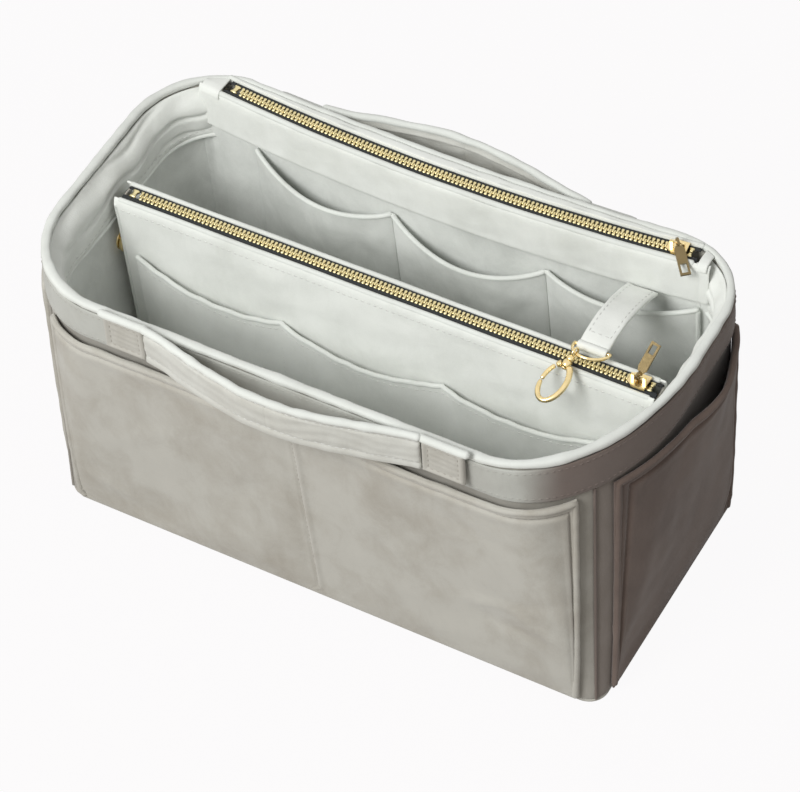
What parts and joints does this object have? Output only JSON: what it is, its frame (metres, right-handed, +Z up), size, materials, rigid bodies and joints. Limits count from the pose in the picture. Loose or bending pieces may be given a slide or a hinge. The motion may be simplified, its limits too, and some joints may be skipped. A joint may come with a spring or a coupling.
{
  "type": "purse organizer insert",
  "caption": "Free-standing fabric organizer for a handbag, with outer and inner pockets, a zipped back pocket, a zipped snap-in middle pouch, low handles and a key strap with a swivel clasp.",
  "frame": {"origin": "centre of the base, on the surface that the insert stands on", "axes": "+X along the long side to the right seen from the front, +Y from the front to the back, +Z up"},
  "size_m": [0.3412, 0.1927, 0.1737],
  "materials": {
    "velour": "brushed velour nap",
    "lining": "thin brushed cloth",
    "felt": "pressed felt",
    "board": "matte board",
    "tape": "woven tape",
    "gold": "polished",
    "pull": "polished"
  },
  "bodies": {
    "box": {"base_panel": "velour", "base_board": "board", "base_lining": "lining", "front_wall": "velour", "front_stiffener": "felt", "right_wall": "velour", "right_stiffener": "felt", "back_wall": "velour", "back_stiffener": "felt", "left_wall": "velour", "left_stiffener": "felt", "lining": "lining", "rim_band": "velour", "rim_binding": "velour", "inner_facing": "velour", "front_pocket": "velour", "back_pocket": "velour", "left_pocket": "velour", "right_pocket": "velour", "zip_pocket_panel": "lining", "back_facing": "velour", "zip_rear_strip": "velour", "inner_pocket_left": "lining", "inner_pocket_center": "lining", "inner_pocket_right": "lining", "back_zip_tape_front": "tape", "back_zip_teeth_front": "gold", "back_zip_tape_rear": "tape", "back_zip_teeth_rear": "gold", "back_zip_bottom_stop": "gold", "snap_cap_left": "gold", "snap_stud_left": "gold", "snap_cap_right": "gold", "snap_stud_right": "gold", "front_handle_tab_left": "velour", "front_handle_tab_right": "velour", "back_handle_tab_left": "velour", "back_handle_tab_right": "velour"},
    "front_handle": {"front_handle_strap": "velour"},
    "back_handle": {"back_handle_strap": "velour"},
    "back_slider": {"back_zip_slider": "gold"},
    "back_pull": {"back_zip_pull": "pull"},
    "pouch": {"pouch_front_panel": "velour", "pouch_rear_panel": "velour", "pouch_gusset": "velour", "pouch_pocket_panel": "velour", "pouch_zip_tape_front": "tape", "pouch_zip_teeth_front": "gold", "pouch_zip_tape_rear": "tape", "pouch_zip_teeth_rear": "gold", "pouch_zip_bottom_stop": "gold", "pouch_snap_socket_left": "gold", "pouch_snap_socket_right": "gold"},
    "pouch_slider": {"pouch_zip_slider": "gold"},
    "pouch_pull": {"pouch_zip_pull": "pull"},
    "key_strap": {"key_strap": "velour"},
    "key_ring": {"key_ring": "gold"},
    "swivel": {"swivel": "gold"},
    "clasp": {"clasp_hook": "gold"},
    "clasp_gate": {"clasp_gate": "gold"}
  },
  "joints": [
    {"name": "front_handle_swing", "type": "hinge", "parent": "box", "child": "front_handle", "pos_m": [-0.004, -0.0861, 0.168], "axis": [-1, 0, 0], "range_deg": [0, 75]},
    {"name": "back_handle_swing", "type": "hinge", "parent": "box", "child": "back_handle", "pos_m": [-0.004, 0.0795, 0.1635], "axis": [1, 0, 0], "range_deg": [0, 75]},
    {"name": "back_zip_slide", "type": "hinge", "parent": "box", "child": "back_slider", "pos_m": [0.003, 1.18207, 0.1665], "axis": [0, 0, 1], "range_deg": [-11.7, 0], "deforming": ["back_zip_teeth_front", "back_zip_teeth_rear"]},
    {"name": "back_pull_swing", "type": "hinge", "parent": "back_slider", "child": "back_pull", "pos_m": [0.11979, 0.06861, 0.1714], "axis": [-0.766, -0.6428, 0], "range_deg": [0, 150]},
    {"name": "pouch_swing", "type": "hinge", "parent": "box", "child": "pouch", "pos_m": [0, 0, 0.114], "axis": [1, 0, 0], "range_deg": [-12, 0]},
    {"name": "pouch_zip_slide", "type": "slide", "parent": "pouch", "child": "pouch_slider", "axis": [1, 0, 0], "range_m": [-0.264, 0], "deforming": ["pouch_zip_teeth_front", "pouch_zip_teeth_rear"]},
    {"name": "pouch_pull_swing", "type": "hinge", "parent": "pouch_slider", "child": "pouch_pull", "pos_m": [0.13399, 0, 0.1545], "axis": [0.9703, -0.2419, 0], "range_deg": [-30, 90]},
    {"name": "key_strap_lift", "type": "hinge", "parent": "box", "child": "key_strap", "pos_m": [0.1075, 0.0572, 0.1445], "axis": [-1, 0, 0], "range_deg": [0, 40]},
    {"name": "key_ring_turn", "type": "hinge", "parent": "key_strap", "child": "key_ring", "pos_m": [0.1075, 0.006, 0.1536], "axis": [-1, 0, 0], "range_deg": [0, 90]},
    {"name": "swivel_tilt", "type": "hinge", "parent": "key_ring", "child": "swivel", "pos_m": [0.1025, -0.00189, 0.15647], "axis": [-0.9781, 0.2079, 0], "range_deg": [0, 60]},
    {"name": "clasp_spin", "type": "hinge", "parent": "swivel", "child": "clasp", "pos_m": [0.1025, -0.00189, 0.15647], "axis": [0.1928, 0.9069, 0.3746], "continuous": true},
    {"name": "clasp_gate_press", "type": "hinge", "parent": "clasp", "child": "clasp_gate", "pos_m": [0.09651, -0.01, 0.15276], "axis": [-0.0779, -0.3664, 0.9272], "range_deg": [0, 20], "stiffness_Nm_per_rad": 0.004}
  ]
}
